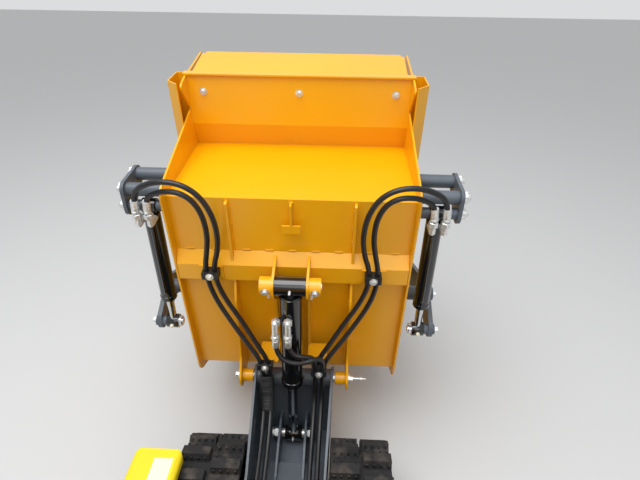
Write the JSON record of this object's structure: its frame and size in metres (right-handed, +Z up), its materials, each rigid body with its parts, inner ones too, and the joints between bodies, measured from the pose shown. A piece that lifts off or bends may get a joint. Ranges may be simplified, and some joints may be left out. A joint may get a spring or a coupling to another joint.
{
  "type": "tracked site dumper with self-loading shovel",
  "caption": "Walk-behind tracked site dumper, its yellow skip tipped fully forward, with a self-loading shovel on side arms, hydraulic cylinders and hoses, and a folding step.",
  "frame": {"origin": "on the ground, under the middle of the machine's length and width", "axes": "+Y forward, towards the shovel; +Z up; +X to the operator's right"},
  "size_m": [1.028, 2.8684, 1.3633],
  "materials": {
    "yellow_paint": "satin",
    "dark_paint": "satin",
    "black_cylinder": "gloss",
    "plated_rod": "polished",
    "zinc_steel": "plated",
    "grey_bar": "satin",
    "track_rubber": "matte",
    "hose_rubber": "satin",
    "black_plastic": "moulded",
    "tank_plastic": "moulded"
  },
  "bodies": {
    "root": {"chassis_frame": "dark_paint", "console": "dark_paint", "cowl": "yellow_paint", "cylinder_pin": "zinc_steel", "deck": "dark_paint", "drive_motors": "dark_paint", "engine_block": "dark_paint", "frame_hoses": "hose_rubber", "fuel_cap": "black_plastic", "fuel_tank": "tank_plastic", "guard_bar": "grey_bar", "idlers": "dark_paint", "lever_grips": "black_plastic", "levers": "zinc_steel", "rollers": "dark_paint", "sprockets": "dark_paint", "step_pins": "zinc_steel", "tank_bracket": "dark_paint", "track_frame_left": "dark_paint", "track_frame_right": "dark_paint", "track_left": "track_rubber", "track_right": "track_rubber"},
    "skip": {"skip_shell": "yellow_paint", "rear_panel": "yellow_paint", "skip_rails": "yellow_paint", "skip_ribs": "yellow_paint", "hinge_pin": "zinc_steel", "upper_pin": "zinc_steel", "hub_brackets": "dark_paint", "bracket_nuts": "zinc_steel", "arm_pivots": "dark_paint", "hose_clamps": "black_plastic", "hoses_left": "hose_rubber", "hoses_right": "hose_rubber", "tip_hoses": "hose_rubber"},
    "shovel": {"shovel": "dark_paint", "shovel_arm_left": "dark_paint", "shovel_arm_right": "dark_paint"},
    "tip_barrel": {"tip_barrel": "black_cylinder"},
    "tip_rod": {"tip_rod": "plated_rod"},
    "step": {"step": "dark_paint"},
    "side_barrel_left": {"side_barrel_left": "black_cylinder"},
    "side_rod_left": {"side_rod_left": "plated_rod"},
    "side_barrel_right": {"side_barrel_right": "black_cylinder"},
    "side_rod_right": {"side_rod_right": "plated_rod"}
  },
  "joints": [
    {"name": "skip_tip", "type": "hinge", "parent": "root", "child": "skip", "pos_m": [0, 0.30783, 0.37], "axis": [1, 0, 0], "range_deg": [0, 85], "deforming": ["frame_hoses"]},
    {"name": "tip_barrel_swing", "type": "hinge", "parent": "skip", "child": "tip_barrel", "pos_m": [0, 0.26793, 0.80317], "axis": [1, 0, 0], "range_deg": [-25, 1], "deforming": ["tip_hoses"]},
    {"name": "tip_rod_slide", "type": "slide", "parent": "tip_barrel", "child": "tip_rod", "axis": [0, -0.0476, -0.9989], "range_m": [-0.235, 0.001]},
    {"name": "shovel_swing", "type": "hinge", "parent": "skip", "child": "shovel", "pos_m": [0, 0.48308, 0.62725], "axis": [1, 0, 0], "range_deg": [-13, 48]},
    {"name": "step_fold", "type": "hinge", "parent": "root", "child": "step", "pos_m": [0, -1.14417, 0.165], "axis": [-1, 0, 0], "range_deg": [0, 90]},
    {"name": "side_barrel_left_swing", "type": "hinge", "parent": "skip", "child": "side_barrel_left", "pos_m": [-0.42, 0.36398, 1.01334], "axis": [1, 0, 0], "range_deg": [-3, 10], "deforming": ["hoses_left"]},
    {"name": "side_rod_left_slide", "type": "slide", "parent": "side_barrel_left", "child": "side_rod_left", "axis": [0, -0.0024, -1], "range_m": [-0.026, 0.085]},
    {"name": "side_barrel_right_swing", "type": "hinge", "parent": "skip", "child": "side_barrel_right", "pos_m": [0.42, 0.36398, 1.01334], "axis": [1, 0, 0], "range_deg": [-3, 10], "deforming": ["hoses_right"]},
    {"name": "side_rod_right_slide", "type": "slide", "parent": "side_barrel_right", "child": "side_rod_right", "axis": [0, -0.0024, -1], "range_m": [-0.026, 0.085]}
  ],
  "couplings": [
    {"joint": "tip_barrel_swing", "follows": "skip_tip", "ratio": -0.2728},
    {"joint": "tip_rod_slide", "follows": "skip_tip", "m_per_rad": -0.1548},
    {"joint": "side_barrel_left_swing", "follows": "shovel_swing", "ratio": 0.1774},
    {"joint": "side_rod_left_slide", "follows": "shovel_swing", "m_per_rad": 0.0981},
    {"joint": "side_barrel_right_swing", "follows": "shovel_swing", "ratio": 0.1774},
    {"joint": "side_rod_right_slide", "follows": "shovel_swing", "m_per_rad": 0.0981}
  ]
}
